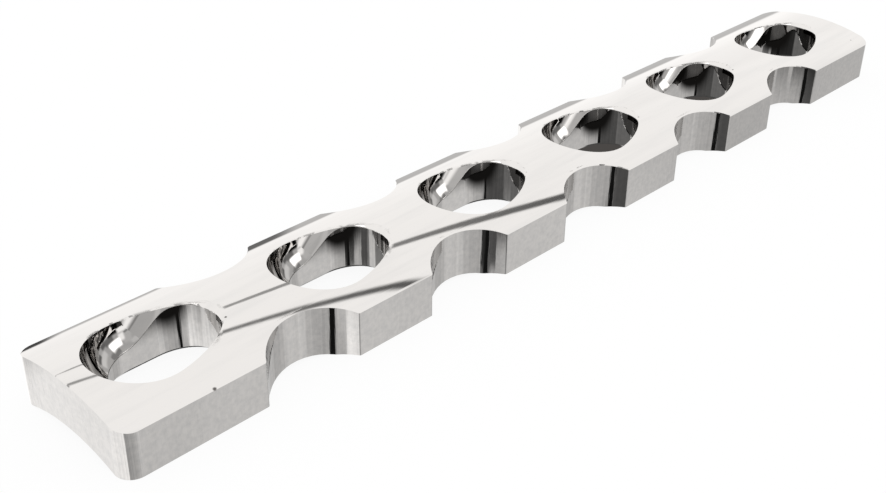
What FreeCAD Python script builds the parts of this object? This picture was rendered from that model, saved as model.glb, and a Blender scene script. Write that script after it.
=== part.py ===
import FreeCAD, Part
import math
import os

from FreeCAD import Vector

# A straight bone plate milled in one piece from bar, with a row of oval
# compression holes and a pair of side notches between each two holes.
# Millimetres. X runs along the plate, Y across it, Z up from the surface
# that the plate rests on; the origin is under the middle of the plate.

# Bar: upright sides, a crowned top, and an arched underside between two feet
hole_count = 6
hole_pitch = 12.0
end_margin = 5.85
plate_width = 9.76
side_height = 2.84
crown_rise = 0.78
foot_width = 1.05
arch_rise = 0.65
end_corner_radius = 1.0

# Round bites between the holes
waist_width = 6.1
notch_radius = 3.7

# Ball seat of a screw hole: the screw head slides down its ramp. The ball's
# middle is ball_lift above the top, and the ramp runs out ramp_lead past the slot
screw_head_radius = 3.0
head_clearance = 0.08
ball_lift = 0.35
ramp_angle = 35.0
ramp_lead = 0.34

# Upright slot below the seat, which leaves a ledge for the screw head
seat_ledge = 0.88
slot_run = 1.94

# Broken edges
notch_edge_radius = 0.15
outline_chamfer = 0.05
rim_chamfer = 0.06
seat_edge_radius = 0.06
mouth_chamfer = 0.18

# How far the cutting tools reach past the bar, and what counts as equal
overrun = 2.0
tolerance = 1e-4

plate_length = (hole_count - 1) * hole_pitch + 2 * end_margin
half_length = plate_length / 2
half_width = plate_width / 2
crown_height = side_height + crown_rise
arch_half_width = half_width - foot_width
seat_radius = screw_head_radius + head_clearance
slot_radius = seat_radius - seat_ledge
slot_end = slot_run / 2 + slot_radius
slope = math.radians(ramp_angle)
ball_height = crown_height + ball_lift
ball_offset = (seat_radius / math.cos(slope) - ball_lift) / math.tan(slope) - slot_end - ramp_lead
up = Vector(0, 0, 1)


def hole_centres():
    # places of the screw holes along the plate
    first = -(hole_count - 1) * hole_pitch / 2
    return [first + index * hole_pitch for index in range(hole_count)]


def notch_centres():
    # places of the notches, half way between two holes
    return [x + hole_pitch / 2 for x in hole_centres()[:-1]]


def middle_normal(face):
    # direction that a face looks in at its middle
    u_min, u_max, v_min, v_max = face.ParameterRange
    return face.normalAt((u_min + u_max) / 2, (v_min + v_max) / 2)


def is_wall(face):
    # true for anything upright
    return abs(middle_normal(face).z) < tolerance


def is_slot_wall(face):
    # true for the upright walls of the screw holes
    box = face.BoundBox
    return is_wall(face) and max(-box.YMin, box.YMax) < slot_radius + tolerance


def is_underside(face):
    # true for the arch and the two feet
    return middle_normal(face).z < tolerance - 1


def is_seat(face):
    # true for the ball seat and its ramp
    return abs(getattr(face.Surface, "Radius", 0) - seat_radius) < tolerance


def is_upright(edge):
    # true for a straight vertical edge
    box = edge.BoundBox
    return box.XLength < tolerance and box.YLength < tolerance


def edges_between(shape, first, second):
    # edges with a face of the first kind on one side and of the second on the other
    chosen = []
    for edge in shape.Edges:
        beside = shape.ancestorsOfType(edge, Part.Face)
        if any(first(face) for face in beside) and any(second(face) for face in beside):
            chosen.append(edge)
    return chosen


def crown_face(plate):
    # the crowned top is the largest of the faces that reach the full height
    tops = [face for face in plate.Faces if face.BoundBox.ZMax > crown_height - tolerance]
    return max(tops, key=lambda face: face.Area)


def bar_section():
    # end view of the bar, drawn at its left end
    def at(y, z):
        return Vector(-half_length, y, z)

    arch = Part.Arc(at(-arch_half_width, 0), at(0, arch_rise), at(arch_half_width, 0))
    crown = Part.Arc(at(half_width, side_height), at(0, crown_height), at(-half_width, side_height))
    edges = [
        Part.makeLine(at(-half_width, 0), at(-arch_half_width, 0)),
        arch.toShape(),
        Part.makeLine(at(arch_half_width, 0), at(half_width, 0)),
        Part.makeLine(at(half_width, 0), at(half_width, side_height)),
        crown.toShape(),
        Part.makeLine(at(-half_width, side_height), at(-half_width, 0)),
    ]
    return Part.Face(Part.Wire(edges))


def make_bar():
    # the bar, with its four upright end corners rounded
    bar = bar_section().extrude(Vector(plate_length, 0, 0))
    return bar.makeFillet(end_corner_radius, [edge for edge in bar.Edges if is_upright(edge)])


def make_notch(x, side):
    # round cutter that bites into one long side
    y = side * (waist_width / 2 + notch_radius)
    reach = crown_height + 2 * overrun
    return Part.makeCylinder(notch_radius, reach, Vector(x, y, -overrun), up)


def cut_notches(plate):
    # notches between the holes, with their upright corners rounded
    for x in notch_centres():
        for side in (-1, 1):
            plate = plate.cut(make_notch(x, side))
    limit = half_length - end_corner_radius - tolerance
    corners = [edge for edge in plate.Edges if is_upright(edge) and abs(edge.BoundBox.Center.x) < limit]
    return plate.makeFillet(notch_edge_radius, corners)


def break_outline(plate):
    # chamfer along the outside of the top
    return plate.makeChamfer(outline_chamfer, crown_face(plate).OuterWire.Edges)


def make_slot(x):
    # upright obround cut right through the plate
    left = x - slot_run / 2
    right = x + slot_run / 2

    def at(place, y):
        return Vector(place, y, -overrun)

    left_end = Part.Arc(at(left, slot_radius), at(x - slot_end, 0), at(left, -slot_radius))
    right_end = Part.Arc(at(right, -slot_radius), at(x + slot_end, 0), at(right, slot_radius))
    edges = [
        Part.makeLine(at(left, -slot_radius), at(right, -slot_radius)),
        right_end.toShape(),
        Part.makeLine(at(right, slot_radius), at(left, slot_radius)),
        left_end.toShape(),
    ]
    return Part.Face(Part.Wire(edges)).extrude(up * (crown_height + 2 * overrun))


def make_ball_seat(x):
    # the ball cutter plunges at the left of the hole, and its ramp rises to the right
    centre = Vector(x - ball_offset, 0, ball_height)
    ramp = Vector(math.cos(slope), 0, math.sin(slope))
    climb = (seat_radius + overrun) / math.sin(slope)
    ball = Part.makeSphere(seat_radius, centre)
    return [ball, Part.makeCylinder(seat_radius, climb, centre, ramp)]


def cut_holes(plate):
    for x in hole_centres():
        plate = plate.cut(make_slot(x))
        for cutter in make_ball_seat(x):
            plate = plate.cut(cutter)
    return plate


def break_holes(plate):
    # chamfered rims, rounded lower edges of the seats, and chamfers at the underside
    crown = crown_face(plate)
    rims = [wire for wire in crown.Wires if not wire.isSame(crown.OuterWire)]
    plate = plate.makeChamfer(rim_chamfer, [edge for wire in rims for edge in wire.Edges])
    plate = plate.makeFillet(seat_edge_radius, edges_between(plate, is_slot_wall, is_seat))
    return plate.makeChamfer(mouth_chamfer, edges_between(plate, is_slot_wall, is_underside))


os.makedirs("parts", exist_ok=True)
plate = break_holes(cut_holes(break_outline(cut_notches(make_bar()))))
plate.exportStep("parts/plate.step")
print("plate valid", plate.isValid(), "solids", len(plate.Solids), "faces", len(plate.Faces))
print("volume", round(plate.Volume, 1), plate.optimalBoundingBox())
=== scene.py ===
import bpy
import math
from mathutils import Matrix, Vector


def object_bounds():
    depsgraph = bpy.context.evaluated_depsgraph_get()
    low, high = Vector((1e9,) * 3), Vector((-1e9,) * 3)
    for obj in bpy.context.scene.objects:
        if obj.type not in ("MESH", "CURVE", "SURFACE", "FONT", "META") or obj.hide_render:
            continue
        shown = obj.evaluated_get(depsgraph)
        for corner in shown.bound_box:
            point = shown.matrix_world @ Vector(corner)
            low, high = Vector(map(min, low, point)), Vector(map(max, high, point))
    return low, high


# A straight bone plate of polished steel, lying on white paper under a large
# white ceiling panel. The plate is the CAD solid itself; this script gives it its
# finish, the floor, the studio that it mirrors and the camera. Metres, Z up.

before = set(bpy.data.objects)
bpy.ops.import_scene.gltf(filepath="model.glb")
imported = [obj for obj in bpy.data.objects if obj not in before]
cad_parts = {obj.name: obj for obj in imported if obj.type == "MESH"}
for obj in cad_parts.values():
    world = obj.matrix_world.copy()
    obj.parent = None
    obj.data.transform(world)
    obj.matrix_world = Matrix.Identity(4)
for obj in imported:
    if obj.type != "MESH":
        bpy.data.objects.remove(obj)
cadLow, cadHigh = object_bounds()
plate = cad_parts["plate"]
scene = bpy.context.scene
mm = 0.001
holePitch = 12.0                  # mm, between the middles of two screw holes


def linear(hexColour):
    # sRGB hex to the linear colour that the nodes take
    channels = [int(hexColour[i:i + 2], 16) / 255 for i in (1, 3, 5)]
    return [c / 12.92 if c <= 0.04045 else ((c + 0.055) / 1.055) ** 2.4 for c in channels] + [1.0]


def toMetres(lengths):
    return [length * mm for length in lengths]


def addNode(tree, kind, settings=None, inputs=None):
    # one node, its settings, and for each input either a value or the socket that feeds it
    node = tree.nodes.new(kind)
    for name, value in (settings or {}).items():
        setattr(node, name, value)
    for name, value in (inputs or {}).items():
        if isinstance(value, bpy.types.NodeSocket):
            tree.links.new(value, node.inputs[name])
        else:
            node.inputs[name].default_value = value
    return node


def inRanges(tree, ranges):
    # 1 where each value lies between its two limits, else 0
    inside = 1.0
    for value, start, end in ranges:
        for side, limit in (("GREATER_THAN", start), ("LESS_THAN", end)):
            part = addNode(tree, "ShaderNodeMath", {"operation": side}, {0: value, 1: limit}).outputs[0]
            inside = addNode(tree, "ShaderNodeMath", {"operation": "MULTIPLY"},
                             {0: inside, 1: part}).outputs[0]
    return inside


# Low over the near left end, looking along the plate
cameraSettings = {
    "place": (-57.819, -46.838, 40.476),      # mm
    "looks": (0.61713, 0.5961, -0.51363),
    "upward": (0.36021, 0.36632, 0.85794),
    "lens": 50.514,
    "sensor": 36.0,
    "clip": (0.001, 10.0),        # m
}


def makeCamera(settings):
    data = bpy.data.cameras.new("camera")
    data.lens = settings["lens"]
    data.sensor_width = settings["sensor"]
    data.clip_start, data.clip_end = settings["clip"]
    looks = Vector(settings["looks"]).normalized()
    right = looks.cross(Vector(settings["upward"])).normalized()
    turn = Matrix((right, right.cross(looks), -looks)).transposed().to_4x4()
    camera = bpy.data.objects.new("camera", data)
    camera.matrix_world = Matrix.Translation(Vector(settings["place"]) * mm) @ turn
    scene.collection.objects.link(camera)
    scene.camera = camera


makeCamera(cameraSettings)
print("camera placed")

# 316L surgical steel, milled and then mirror polished: the eye sees the studio in
# it, hardly blurred on the crown, a little streaked and mottled on the milled walls.
# A face's lift is how much it looks up or down: 0 on a wall and 1 on level steel
steel = {
    "name": "mirror polished 316L surgical steel",
    "colour": "#cccac8",
    "roughness": 0.025,
    "wallLift": (0.3, 0.1),       # from crown to wall
    "patterns": {
        # size in mm along the plate, across it and upright. Lines have a depth in mm; the others
        # show between two levels of the noise, and at most so strong. The steel's own lines are
        # finer than 0.05 mm, so these are as coarse as they have to be to show
        "polishing lines": {"size": (6.0, 0.15, 0.15), "detail": 3.0, "depth": 0.0002},
        "milling lines": {"size": (0.11, 0.11, 2.2), "detail": 2.0, "depth": 0.0022},
        "smudges": {"size": (9.0, 0.8, 0.8), "detail": 3.0, "shows": (0.45, 0.75, 0.45)},
        "mottle": {"size": (0.3, 0.3, 0.3), "detail": 4.0, "shows": (0.35, 0.7, 1.0)},
        "burrs": {"size": (0.7, 0.7, 0.7), "detail": 1.0, "shows": (0.42, 0.52, 1.0)},
    },
    "patternRoughness": 0.6,
    "dullColour": "#bfbebd",      # of smudges, and between the polished spots of a milled wall
    "marks": [
        # place of a nick or speck, mm, and its radius
        (-30.4, -4.86, 2.88, 0.16),
        (-26.8, -1.05, 3.58, 0.10),
        (34.3, -3.89, 3.13, 0.07),
    ],
    "markCore": 0.4,              # share of the radius that has the full colour
    "markColour": "#5a5755",
    "rampShade": {
        # strip of a slot's near wall right under its seat's ramp, painted dark as shade, mm and degrees
        "rampStart": (-1.36, 3.97),           # along the hole and up
        "rampAngle": 35.0,
        "fromAxis": (3.09, 3.39),             # of the ramp
        "along": (-3.3, 3.3),
        "across": (-2.3, -0.2),
        "lift": (-1.0, 0.6),                  # any wall, but not the crown
    },
    # painted shade of the strip under each seat's ramp
    "rampShadeColour": "#2b2725",
    "crown": {
        # its radius, and the broken edges just below it, mm
        "radius": 15.66,
        "reach": 0.08,
        "lift": (0.3, 0.935),
    },
    "burr": {
        # rounded rim of a hole where it leans to one side, mm
        "reach": 0.32,
        "samples": 6,
        "side": (-0.75, -0.66, 0.0),
        "lean": (0.03, 0.10),                 # where it starts and where it is full
        "squash": (0.5, 1.0, 1.0),            # of its normal
        "across": (-2.95, 2.95),
        "fromEnd": 0.6,                       # leaves out the plate's left end
    },
    "runOut": {
        # top end of a ramp, mm, and the way that its burr faces
        "along": (3.0, 4.0),
        "across": (-2.95, 2.95),
        "deep": 0.6,
        "lift": (0.3, 0.9),
        "facing": (-0.32, -0.08, 0.944),
    },
}


def readSurface(tree, wallLift):
    # where a point lies on the plate and along its own hole, and how its face lifts
    place = addNode(tree, "ShaderNodeTexCoord").outputs["Object"]
    x, y, z = addNode(tree, "ShaderNodeSeparateXYZ", {}, {0: place}).outputs
    normal = addNode(tree, "ShaderNodeNewGeometry").outputs["True Normal"]
    upward = addNode(tree, "ShaderNodeSeparateXYZ", {}, {0: normal}).outputs[2]
    lift = addNode(tree, "ShaderNodeMath", {"operation": "ABSOLUTE"}, {0: upward}).outputs[0]
    onWall = addNode(tree, "ShaderNodeMapRange", {},
                     {"Value": lift, "From Min": wallLift[0], "From Max": wallLift[1]}).outputs[0]
    turn = addNode(tree, "ShaderNodeMath", {"operation": "WRAP"},
                   {0: x, 1: holePitch * mm, 2: 0.0}).outputs[0]
    along = addNode(tree, "ShaderNodeMath", {"operation": "SUBTRACT"},
                    {0: turn, 1: holePitch / 2 * mm}).outputs[0]
    return {"place": place, "x": x, "y": y, "z": z, "along": along, "lift": lift, "onWall": onWall}


def drawPatterns(tree, place, settings):
    # lines as bumps, smudges, mottle and burrs as masks
    drawn = {}
    for name, pattern in settings["patterns"].items():
        stretched = addNode(tree, "ShaderNodeMapping", {},
                            {"Vector": place, "Scale": [1 / size for size in toMetres(pattern["size"])]})
        noise = addNode(tree, "ShaderNodeTexNoise", {"label": name},
                        {"Vector": stretched.outputs[0], "Scale": 1.0, "Detail": pattern["detail"],
                         "Roughness": settings["patternRoughness"]}).outputs["Fac"]
        if "depth" in pattern:
            shown = addNode(tree, "ShaderNodeBump", {},
                            {"Strength": 1.0, "Distance": pattern["depth"] * mm, "Height": noise})
        else:
            start, end, most = pattern["shows"]
            shown = addNode(tree, "ShaderNodeMapRange", {},
                            {"Value": noise, "From Min": start, "From Max": end, "To Max": most})
        drawn[name] = shown.outputs[0]
    return drawn


def findRampShade(tree, spot, rampShade):
    # 1 on the strip painted dark as shade, which lies at the ramp's radius from the ramp's axis
    startX, startZ = toMetres(rampShade["rampStart"])
    slope = math.radians(rampShade["rampAngle"])
    inHole = addNode(tree, "ShaderNodeCombineXYZ", {}, {0: spot["along"], 2: spot["z"]}).outputs[0]
    fromStart = addNode(tree, "ShaderNodeVectorMath", {"operation": "SUBTRACT"},
                        {0: inHole, 1: (startX, 0.0, startZ)}).outputs[0]
    above = addNode(tree, "ShaderNodeVectorMath", {"operation": "DOT_PRODUCT"},
                    {0: fromStart, 1: (-math.sin(slope), 0.0, math.cos(slope))}).outputs["Value"]
    toAxis = addNode(tree, "ShaderNodeCombineXYZ", {}, {0: above, 1: spot["y"]}).outputs[0]
    fromAxis = addNode(tree, "ShaderNodeVectorMath", {"operation": "LENGTH"}, {0: toAxis}).outputs["Value"]
    return inRanges(tree, [
        (fromAxis, *toMetres(rampShade["fromAxis"])),
        (spot["along"], *toMetres(rampShade["along"])),
        (spot["y"], *toMetres(rampShade["across"])),
        (spot["lift"], *rampShade["lift"]),
    ])


def steelColour(tree, spot, drawn, settings):
    # faint smudges on the crown, stronger mottling on the walls
    dullness = addNode(tree, "ShaderNodeMix", {"data_type": "FLOAT"},
                       {0: spot["onWall"], 2: drawn["smudges"], 3: drawn["mottle"]}).outputs[0]
    colour = addNode(tree, "ShaderNodeMix", {"data_type": "RGBA"},
                     {0: dullness, 6: linear(settings["colour"]),
                      7: linear(settings["dullColour"])}).outputs[2]
    for x, y, z, radius in settings["marks"]:
        away = addNode(tree, "ShaderNodeVectorMath", {"operation": "DISTANCE"},
                       {0: spot["place"], 1: toMetres((x, y, z))}).outputs["Value"]
        core = radius * settings["markCore"]
        inside = addNode(tree, "ShaderNodeMapRange", {"interpolation_type": "SMOOTHSTEP"},
                         {"Value": away, "From Min": radius * mm, "From Max": core * mm}).outputs[0]
        colour = addNode(tree, "ShaderNodeMix", {"data_type": "RGBA"},
                         {0: inside, 6: colour, 7: linear(settings["markColour"])}).outputs[2]
    # under the near side of each seat the slot's wall is painted dark as shade, which the far wall mirrors
    return addNode(tree, "ShaderNodeMix", {"data_type": "RGBA"},
                   {0: findRampShade(tree, spot, settings["rampShade"]), 6: colour,
                    7: linear(settings["rampShadeColour"])}).outputs[2]


def steelNormal(tree, spot, drawn, settings):
    # polishing lines along the crown, milling lines up and down the walls
    facing = addNode(tree, "ShaderNodeMix", {"data_type": "VECTOR"},
                     {0: spot["onWall"], 4: drawn["polishing lines"], 5: drawn["milling lines"]}).outputs[1]
    # the broken edges just below the crown are blended over, and mirror what it mirrors
    crown = settings["crown"]
    height = addNode(tree, "ShaderNodeMath", {"operation": "SUBTRACT"},
                     {0: spot["z"], 1: cadHigh.z - crown["radius"] * mm}).outputs[0]
    spoke = addNode(tree, "ShaderNodeCombineXYZ", {}, {1: spot["y"], 2: height}).outputs[0]
    length = addNode(tree, "ShaderNodeVectorMath", {"operation": "LENGTH"}, {0: spoke}).outputs["Value"]
    nearCrown = (length, (crown["radius"] - crown["reach"]) * mm, (crown["radius"] + crown["reach"]) * mm)
    onEdge = inRanges(tree, [nearCrown, (spot["lift"], *crown["lift"])])
    over = addNode(tree, "ShaderNodeVectorMath", {"operation": "NORMALIZE"}, {0: spoke}).outputs[0]
    facing = addNode(tree, "ShaderNodeMix", {"data_type": "VECTOR"},
                     {0: onEdge, 4: facing, 5: over}).outputs[1]
    # burrs along the rims of the holes round their far right edge over, and glint
    burr = settings["burr"]
    rounded = addNode(tree, "ShaderNodeBevel", {"samples": burr["samples"]},
                      {"Radius": burr["reach"] * mm}).outputs[0]
    lean = addNode(tree, "ShaderNodeVectorMath", {"operation": "DOT_PRODUCT"},
                   {0: rounded, 1: burr["side"]}).outputs["Value"]
    onBurr = addNode(tree, "ShaderNodeMapRange", {},
                     {"Value": lean, "From Min": burr["lean"][0], "From Max": burr["lean"][1]}).outputs[0]
    alongRim = inRanges(tree, [
        nearCrown,
        (spot["y"], *toMetres(burr["across"])),
        (spot["x"], cadLow.x + burr["fromEnd"] * mm, cadHigh.x),
    ])
    for part in (alongRim, drawn["burrs"]):
        onBurr = addNode(tree, "ShaderNodeMath", {"operation": "MULTIPLY"},
                         {0: onBurr, 1: part}).outputs[0]
    squashed = addNode(tree, "ShaderNodeVectorMath", {"operation": "MULTIPLY"},
                       {0: rounded, 1: burr["squash"]}).outputs[0]
    turned = addNode(tree, "ShaderNodeVectorMath", {"operation": "NORMALIZE"}, {0: squashed}).outputs[0]
    facing = addNode(tree, "ShaderNodeMix", {"data_type": "VECTOR"},
                     {0: onBurr, 4: facing, 5: turned}).outputs[1]
    # where the ramp runs out it is burred over too
    runOut = settings["runOut"]
    onRunOut = inRanges(tree, [
        (spot["along"], *toMetres(runOut["along"])),
        (spot["y"], *toMetres(runOut["across"])),
        (spot["z"], cadHigh.z - runOut["deep"] * mm, cadHigh.z),
        (spot["lift"], *runOut["lift"]),
    ])
    return addNode(tree, "ShaderNodeMix", {"data_type": "VECTOR"},
                   {0: onRunOut, 4: facing, 5: runOut["facing"]}).outputs[1]


def makeSteel(settings):
    material = bpy.data.materials.new(settings["name"])
    material.use_nodes = True
    tree = material.node_tree
    tree.nodes.clear()
    spot = readSurface(tree, settings["wallLift"])
    drawn = drawPatterns(tree, spot["place"], settings)
    surface = addNode(tree, "ShaderNodeBsdfPrincipled", {}, {
        "Base Color": steelColour(tree, spot, drawn, settings),
        "Metallic": 1.0,
        "Roughness": settings["roughness"],
        "Normal": steelNormal(tree, spot, drawn, settings),
    }).outputs[0]
    addNode(tree, "ShaderNodeOutputMaterial", {}, {"Surface": surface})
    return material


plate.data.materials.clear()
plate.data.materials.append(makeSteel(steel))
print("steel made")

# White paper that keeps the plate's contact shadow. The steel mirrors the studio
# below the horizon instead of it, but for the shaded strip under the near half of the plate
floorSettings = {
    "size": 2.0,
    "drop": 0.00001,              # just under the feet
    "colour": "#fafafa",
    "ownLight": 0.93,             # share of plain white, which keeps it white down in the holes
    "unlitAlong": (1.5, 34.5),    # mm
    "unlitAcross": (-2.5, 3.6),
    "unlitColour": "#4b4846",
    "stripEdges": [
        # mm across the plate, where it is clear and where shaded, near edge and far edge
        (-4.9, -4.85),
        (0.2, -2.2),
    ],
    "stripColour": "#1c1b1a",
    "notchRadius": 3.72,          # mm
    "notchMiddle": -6.75,         # mm across the plate
}


def paperSeen(tree, paths, x, y, settings):
    # the camera sees lit paper, and through the three far holes paper that hardly gets light
    paper = addNode(tree, "ShaderNodeBsdfDiffuse", {}, {"Color": linear(settings["colour"])}).outputs[0]
    white = addNode(tree, "ShaderNodeEmission", {},
                    {"Color": linear("#ffffff"), "Strength": 1.0}).outputs[0]
    share = addNode(tree, "ShaderNodeMath", {"operation": "MULTIPLY"},
                    {0: paths.outputs["Is Camera Ray"], 1: settings["ownLight"]}).outputs[0]
    lit = addNode(tree, "ShaderNodeMixShader", {}, {0: share, 1: paper, 2: white}).outputs[0]
    dim = addNode(tree, "ShaderNodeEmission", {}, {"Color": linear(settings["unlitColour"])}).outputs[0]
    underHoles = inRanges(tree, [
        (x, *toMetres(settings["unlitAlong"])),
        (y, *toMetres(settings["unlitAcross"])),
    ])
    return addNode(tree, "ShaderNodeMixShader", {}, {0: underHoles, 1: lit, 2: dim}).outputs[0]


def paperMirrored(tree, x, y, settings):
    # the steel sees the strip, which ends with the plate and leaves out lit paper in the notches
    dark = addNode(tree, "ShaderNodeEmission", {}, {"Color": linear(settings["stripColour"])}).outputs[0]
    clear = addNode(tree, "ShaderNodeBsdfTransparent").outputs[0]
    fromMiddle = addNode(tree, "ShaderNodeMath", {"operation": "ABSOLUTE"}, {0: x}).outputs[0]
    pastEnd = addNode(tree, "ShaderNodeMath", {"operation": "GREATER_THAN"},
                      {0: fromMiddle, 1: cadHigh.x}).outputs[0]
    turn = addNode(tree, "ShaderNodeMath", {"operation": "WRAP"},
                   {0: x, 1: holePitch / 2 * mm, 2: -holePitch / 2 * mm}).outputs[0]
    turned = addNode(tree, "ShaderNodeCombineXYZ", {}, {0: turn, 1: y}).outputs[0]
    away = addNode(tree, "ShaderNodeVectorMath", {"operation": "DISTANCE"},
                   {0: turned, 1: (0.0, settings["notchMiddle"] * mm, 0.0)}).outputs["Value"]
    inNotch = addNode(tree, "ShaderNodeMath", {"operation": "LESS_THAN"},
                      {0: away, 1: settings["notchRadius"] * mm}).outputs[0]
    outside = [pastEnd, inNotch]
    for clearAt, shadedAt in settings["stripEdges"]:
        past = addNode(tree, "ShaderNodeMapRange", {"interpolation_type": "SMOOTHSTEP"},
                       {"Value": y, "From Min": shadedAt * mm, "From Max": clearAt * mm}).outputs[0]
        outside.append(past)
    share = 0.0
    for part in outside:
        share = addNode(tree, "ShaderNodeMath", {"operation": "MAXIMUM"}, {0: share, 1: part}).outputs[0]
    return addNode(tree, "ShaderNodeMixShader", {}, {0: share, 1: dark, 2: clear}).outputs[0]


def makePaper(settings):
    material = bpy.data.materials.new("white paper")
    material.use_nodes = True
    tree = material.node_tree
    tree.nodes.clear()
    place = addNode(tree, "ShaderNodeTexCoord").outputs["Object"]
    x, y = addNode(tree, "ShaderNodeSeparateXYZ", {}, {0: place}).outputs[:2]
    paths = addNode(tree, "ShaderNodeLightPath")
    surface = addNode(tree, "ShaderNodeMixShader", {}, {
        0: paths.outputs["Is Glossy Ray"],
        1: paperSeen(tree, paths, x, y, settings),
        2: paperMirrored(tree, x, y, settings),
    }).outputs[0]
    addNode(tree, "ShaderNodeOutputMaterial", {}, {"Surface": surface})
    return material


def makeFloor(settings):
    half = settings["size"] / 2
    z = cadLow.z - settings["drop"]
    corners = [(-half, -half, z), (half, -half, z), (half, half, z), (-half, half, z)]
    mesh = bpy.data.meshes.new("floor")
    mesh.from_pydata(corners, [], [(0, 1, 2, 3)])
    mesh.materials.append(makePaper(settings))
    floor = bpy.data.objects.new("floor", mesh)
    scene.collection.objects.link(floor)


makeFloor(floorSettings)
print("floor laid")

# What the steel mirrors, as soft-edged areas of azimuth and elevation. Azimuth
# turns from +X towards +Y, each area covers those before it, and its tone is
# the grey that the steel then shows
studio = {
    "mirror": 0.59,               # share of the light that the steel gives back
    "tint": "#fffefd",
    "lighting": 1.07,             # strength of the white light on paper
    "room": 165,
    "areas": [
        # name, azimuth from, to, elevation from, to, softness, tone
        ("paper all round", -180, 180, -90, -18, 3, 168),
        ("paper on the right", 0, 52, -40, -18, 8, 170),
        ("paper in the key light", -80, -32, -45, -25, 22, 194),
        ("paper behind", 57, 108, -42, -18, 6, 231),
        ("drape on the paper, right", 108, 182, -33, -17, 8, 98),
        ("paper through the drapes", 148, 170, -36, -29.5, 4, 192),
        ("drape on the paper, left", -184, -127, -32, -17, 1.4, 74),
        ("paper past the drape", -163, -131, -37, -32, 1.2, 204),
        ("paper past the drape, far", -163, -140, -33, -30.6, 1.6, 170),
        ("paper by the left end", 112, 214, -42, -34, 3, 232),
        ("paper near the left end", -143, -96, -43, -35.5, 10, 161),
        ("paper nearest the left end", -143, -122, -43, -35.5, 8, 149),
        ("far paper, left", -182, -88, -22, -17, 2, 38),
        ("far paper, front", -78, -40, -22, -17, 3, 90),
        ("far paper, right", -8, 104, -22, -17, 3, 185),
        ("paper edge", -180, 180, -18.5, -15.5, 1.5, 110),
        ("wall foot", -180, 180, -15, -1, 2, 150),
        ("wall foot, right", -42, 45, -14, -2, 2, 95),
        ("wall foot, left", 118, 212, -14, -2, 3, 90),
        ("light stand", -62, -48, -14, -1, 3, 228),
        ("lit wall foot", 45, 78, -14, -1.5, 3, 228),
        ("under the plate", -42, 120, -90, -50, 8, 66),
        ("under the plate's left end", 120, 318, -90, -43, 3, 6),
        ("paper, brightest", -54, -34, -31, -27, 5, 194),
        ("flag", -126.8, -117.2, -37, -18, 2.5, 18),
        ("flag, second notch", -119, -112.6, -32.3, -28.7, 2, 45),
        ("left wall", -182, -98, 0, 16, 4, 168),
        ("left drape", -170, -106, 19, 34, 4, 80),
        ("left drape, high", -182, -148, 37, 58, 4, 110),
        ("left light line", -182, -100, 32, 37, 2, 235),
        ("front wall", -124, 6, 3, 41, 5, 160),
        ("front wall, lit side", -100, -84, 2, 34, 6, 172),
        ("front wall, fold", -101, -88, 13.5, 17, 3, 124),
        ("front wall, lit edge", -116, -98, 30.5, 34, 2, 180),
        ("front wall, high", -150, -20, 45, 60, 5, 90),
        ("front wall, right", -36, -6, 17, 27, 6, 192),
        ("front wall, top", -66, -34, 32, 40, 4, 118),
        ("front shadow, brown", -66, -44, 8, 20, 6, 100),
        ("front shadow, middle", -46, -33, 8, 16, 5, 92),
        ("front shadow, right", -22, -6, 12, 18, 4, 92),
        ("front shadow", -81, -56, 1, 10, 5, 14),
        ("front right shadow", -32, 8, 40, 60, 8, 66),
        ("ceiling", -100, 92, 66, 91, 4, 185),
        ("back drape", 108, 182, 28, 52, 5, 70),
        ("back drape, high", 116, 138, 45, 73, 4, 5),
        ("back right light", 97, 148, 8, 27, 4, 222),
        ("back window", 130, 180, 24, 33, 3, 246),
        ("back foot", 92, 152, 1, 8, 3, 50),
        ("high left panel", -184, -100, 57, 88, 3, 305),
        ("high back panel", 94, 180, 62, 88, 3, 285),
        ("right wall", -5, 32, 0, 8, 4, 96),
        ("overhead panel, low", 24, 106, 5.4, 40, 2, 235),
        ("overhead panel, right", 4, 40, 11, 40, 4, 231),
        ("overhead panel", 9, 106, 26, 60, 3, 235),
        ("overhead panel, top", 20, 90, 50, 66, 3, 235),
        ("horizon", 26, 106, -1, 4.9, 2.2, 172),
        ("horizon shadow", 58, 62, -0.5, 5.0, 1.5, 98),
        ("horizon, left", 62.5, 78, 2.6, 9, 1.8, 234),
        ("horizon corner", 69.4, 78, -1, 3.6, 1.2, 66),
        ("key light, tail", -97, -78, 3, 12, 5, 238),
        ("key light, side", -88, -77, 14, 27, 6, 236),
        ("key light", -78, -49, 20, 33, 6, 320),
        ("far corner glint", 140, 154, 46, 58, 2, 300),
    ],
    "seams": [
        # lines across the overhead panel, which lies one unit up: how far across they are at
        # each power of along, width, start and end along, tone
        ("first seam", (1.126, -0.490, 0.375, -0.160), 0.046, 0.26, 1.54, 88),
        ("second seam", (0.789, -0.141, -0.166, 0.091), 0.028, 0.22, 1.15, 86),
    ],
    "seamSoftness": (0.02, 0.04),             # across and along
    "seamPaling": (0.3, 1.3, 0.68),           # along from, to, and the strength left there
    "lowest": 0.05,                           # rise at which the panel's plane ends
    "folds": {"wide": 7.0, "detail": 3.0, "noise": (0.3, 0.7), "light": (0.88, 1.08), "below": -17.0},
}


def strengthOf(tone, mirror):
    # world strength that shows as this grey in the steel
    return ((tone / 255 + 0.055) / 1.055) ** 2.4 / mirror


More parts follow.
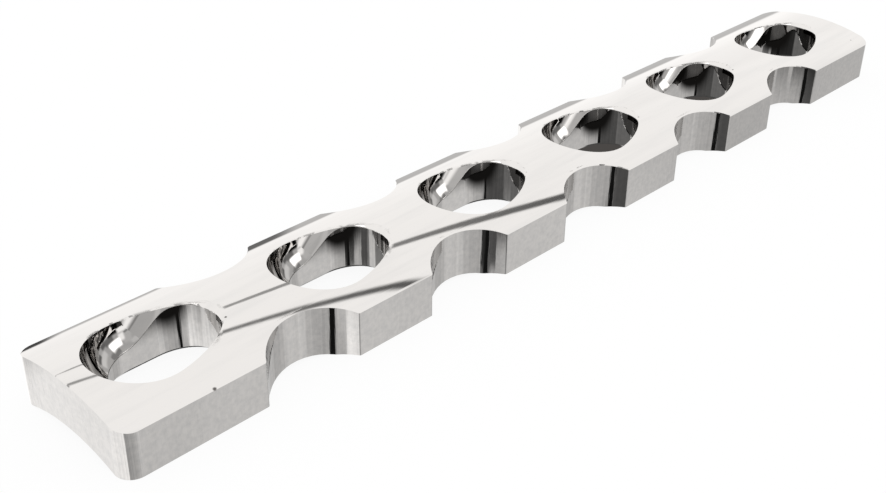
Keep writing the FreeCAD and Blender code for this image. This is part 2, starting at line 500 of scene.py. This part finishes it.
def softlyWithin(tree, value, start, end, softness, turns=False):
    # 1 between start and end, falling softly to 0 on either side; degrees can go full circle
    away = addNode(tree, "ShaderNodeMath", {"operation": "SUBTRACT"},
                   {0: value, 1: (start + end) / 2}).outputs[0]
    if turns:
        away = addNode(tree, "ShaderNodeMath", {"operation": "WRAP"},
                       {0: away, 1: 180.0, 2: -180.0}).outputs[0]
    away = addNode(tree, "ShaderNodeMath", {"operation": "ABSOLUTE"}, {0: away}).outputs[0]
    half = (end - start) / 2
    return addNode(tree, "ShaderNodeMapRange", {"interpolation_type": "SMOOTHSTEP"},
                   {"Value": away, "From Min": half + softness / 2,
                    "From Max": half - softness / 2}).outputs[0]


def paintAreas(tree, azimuth, elevation, settings):
    strength = strengthOf(settings["room"], settings["mirror"])
    for name, azFrom, azTo, elFrom, elTo, softness, tone in settings["areas"]:
        inside = softlyWithin(tree, elevation, elFrom, elTo, softness)
        if azTo - azFrom < 360:
            beside = softlyWithin(tree, azimuth, azFrom, azTo, softness, turns=True)
            inside = addNode(tree, "ShaderNodeMath", {"operation": "MULTIPLY"},
                             {0: inside, 1: beside}).outputs[0]
        strength = addNode(tree, "ShaderNodeMix", {"data_type": "FLOAT", "label": name},
                           {0: inside, 2: strength, 3: strengthOf(tone, settings["mirror"])}).outputs[0]
    return strength


def paintSeams(tree, direction, strength, settings):
    x, y, z = direction
    rise = addNode(tree, "ShaderNodeMath", {"operation": "MAXIMUM"},
                   {0: z, 1: settings["lowest"]}).outputs[0]
    across = addNode(tree, "ShaderNodeMath", {"operation": "DIVIDE"}, {0: x, 1: rise}).outputs[0]
    along = addNode(tree, "ShaderNodeMath", {"operation": "DIVIDE"}, {0: y, 1: rise}).outputs[0]
    softAcross, softAlong = settings["seamSoftness"]
    paleFrom, paleTo, left = settings["seamPaling"]
    paling = addNode(tree, "ShaderNodeMapRange", {},
                     {"Value": along, "From Min": paleFrom, "From Max": paleTo,
                      "To Min": 1.0, "To Max": left}).outputs[0]
    for name, powers, width, start, end, tone in settings["seams"]:
        curve = 0.0
        for power in reversed(powers):
            curve = addNode(tree, "ShaderNodeMath", {"operation": "MULTIPLY_ADD"},
                            {0: along, 1: curve, 2: power}).outputs[0]
        away = addNode(tree, "ShaderNodeMath", {"operation": "SUBTRACT"}, {0: across, 1: curve}).outputs[0]
        inside = softlyWithin(tree, away, -width / 2, width / 2, softAcross)
        for part in (softlyWithin(tree, along, start, end, softAlong), paling):
            inside = addNode(tree, "ShaderNodeMath", {"operation": "MULTIPLY"},
                             {0: inside, 1: part}).outputs[0]
        strength = addNode(tree, "ShaderNodeMix", {"data_type": "FLOAT", "label": name},
                           {0: inside, 2: strength, 3: strengthOf(tone, settings["mirror"])}).outputs[0]
    return strength


def paintFolds(tree, azimuth, elevation, strength, folds):
    # folds in the paper and in the drapes on it, which streak the upright walls
    turns = addNode(tree, "ShaderNodeMath", {"operation": "DIVIDE"},
                    {0: azimuth, 1: folds["wide"]}).outputs[0]
    noise = addNode(tree, "ShaderNodeTexNoise", {"noise_dimensions": "1D"},
                    {"W": turns, "Scale": 1.0, "Detail": folds["detail"]}).outputs["Fac"]
    light = addNode(tree, "ShaderNodeMapRange", {},
                    {"Value": noise, "From Min": folds["noise"][0], "From Max": folds["noise"][1],
                     "To Min": folds["light"][0], "To Max": folds["light"][1]}).outputs[0]
    below = addNode(tree, "ShaderNodeMath", {"operation": "LESS_THAN"},
                    {0: elevation, 1: folds["below"]}).outputs[0]
    share = addNode(tree, "ShaderNodeMix", {"data_type": "FLOAT"},
                    {0: below, 2: 1.0, 3: light}).outputs[0]
    return addNode(tree, "ShaderNodeMath", {"operation": "MULTIPLY"},
                   {0: strength, 1: share}).outputs[0]


def makeStudio(settings):
    world = bpy.data.worlds.new("studio")
    world.use_nodes = True
    scene.world = world
    tree = world.node_tree
    tree.nodes.clear()
    direction = addNode(tree, "ShaderNodeTexCoord").outputs["Generated"]
    x, y, z = addNode(tree, "ShaderNodeSeparateXYZ", {}, {0: direction}).outputs
    bearing = addNode(tree, "ShaderNodeMath", {"operation": "ARCTAN2"}, {0: y, 1: x}).outputs[0]
    azimuth = addNode(tree, "ShaderNodeMath", {"operation": "DEGREES"}, {0: bearing}).outputs[0]
    climb = addNode(tree, "ShaderNodeMath", {"operation": "ARCSINE"}, {0: z}).outputs[0]
    elevation = addNode(tree, "ShaderNodeMath", {"operation": "DEGREES"}, {0: climb}).outputs[0]
    strength = paintAreas(tree, azimuth, elevation, settings)
    strength = paintSeams(tree, (x, y, z), strength, settings)
    strength = paintFolds(tree, azimuth, elevation, strength, settings["folds"])
    # the steel mirrors the studio, the camera sees plain white, and the paper gets white light
    mirrored = addNode(tree, "ShaderNodeBackground", {},
                       {"Color": linear(settings["tint"]), "Strength": strength}).outputs[0]
    seen = addNode(tree, "ShaderNodeBackground", {},
                   {"Color": linear("#ffffff"), "Strength": 1.0}).outputs[0]
    lighting = addNode(tree, "ShaderNodeBackground", {},
                       {"Color": linear("#ffffff"), "Strength": settings["lighting"]}).outputs[0]
    paths = addNode(tree, "ShaderNodeLightPath")
    plain = addNode(tree, "ShaderNodeMixShader", {},
                    {0: paths.outputs["Is Camera Ray"], 1: lighting, 2: seen}).outputs[0]
    shiny = addNode(tree, "ShaderNodeMath", {"operation": "MAXIMUM"},
                    {0: paths.outputs["Is Glossy Ray"], 1: paths.outputs["Is Transmission Ray"]}).outputs[0]
    surface = addNode(tree, "ShaderNodeMixShader", {}, {0: shiny, 1: plain, 2: mirrored}).outputs[0]
    addNode(tree, "ShaderNodeOutputWorld", {}, {"Surface": surface})


makeStudio(studio)
print("studio made")

scene.view_settings.view_transform = "Standard"
